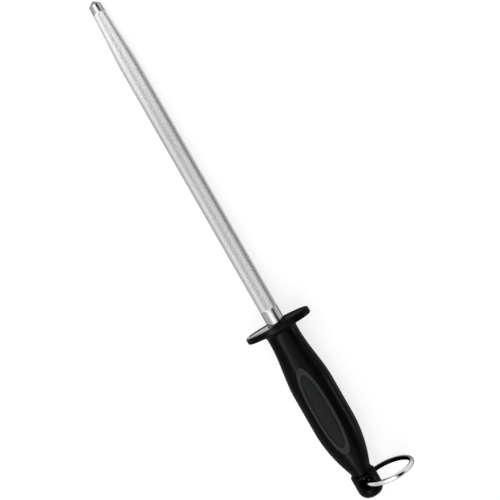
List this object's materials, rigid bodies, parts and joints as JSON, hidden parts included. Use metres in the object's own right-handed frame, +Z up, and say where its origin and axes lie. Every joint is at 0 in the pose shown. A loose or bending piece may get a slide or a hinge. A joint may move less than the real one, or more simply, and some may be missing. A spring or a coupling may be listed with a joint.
{
  "type": "knife sharpening steel",
  "caption": "Butcher's sharpening steel: ribbed tapering steel rod, moulded handle with oval guard and soft inlays, swivelling end cap and a wire ring that swings for hanging.",
  "frame": {"origin": "on the table, under the middle of the steel's outline as it lies at rest", "axes": "+X along the steel towards its tip, +Z up from the table, out of the upper broad face of the handle; the steel lies 2.2 degrees tip down, on the guard's lower rim and the rod"},
  "size_m": [0.3956, 0.0618, 0.0387],
  "materials": {
    "rod_steel": "finely ribbed along its length, polished at the tip and next to the guard",
    "handle_plastic": "moulded, satin black",
    "inlay_rubber": "soft moulded, dark grey",
    "pin_steel": "turned bright steel",
    "ring_chrome": "bright plated wire"
  },
  "bodies": {
    "handle": {"handle": "handle_plastic", "rod": "rod_steel", "grip_inlay_upper": "inlay_rubber", "grip_inlay_lower": "inlay_rubber"},
    "swivel": {"swivel_cap": "handle_plastic", "swivel_pin": "pin_steel", "thrust_washer": "pin_steel"},
    "ring": {"hanging_ring": "ring_chrome"}
  },
  "joints": [
    {"name": "cap_swivel", "type": "hinge", "parent": "handle", "child": "swivel", "pos_m": [-0.17898, 0.00583, 0.01917], "axis": [0.9993, 0, -0.0384], "continuous": true},
    {"name": "ring_swing", "type": "hinge", "parent": "swivel", "child": "ring", "pos_m": [-0.18518, 0.00583, 0.0194], "axis": [0.0384, 0, 0.9993], "range_deg": [-236.5, 63.5]}
  ]
}
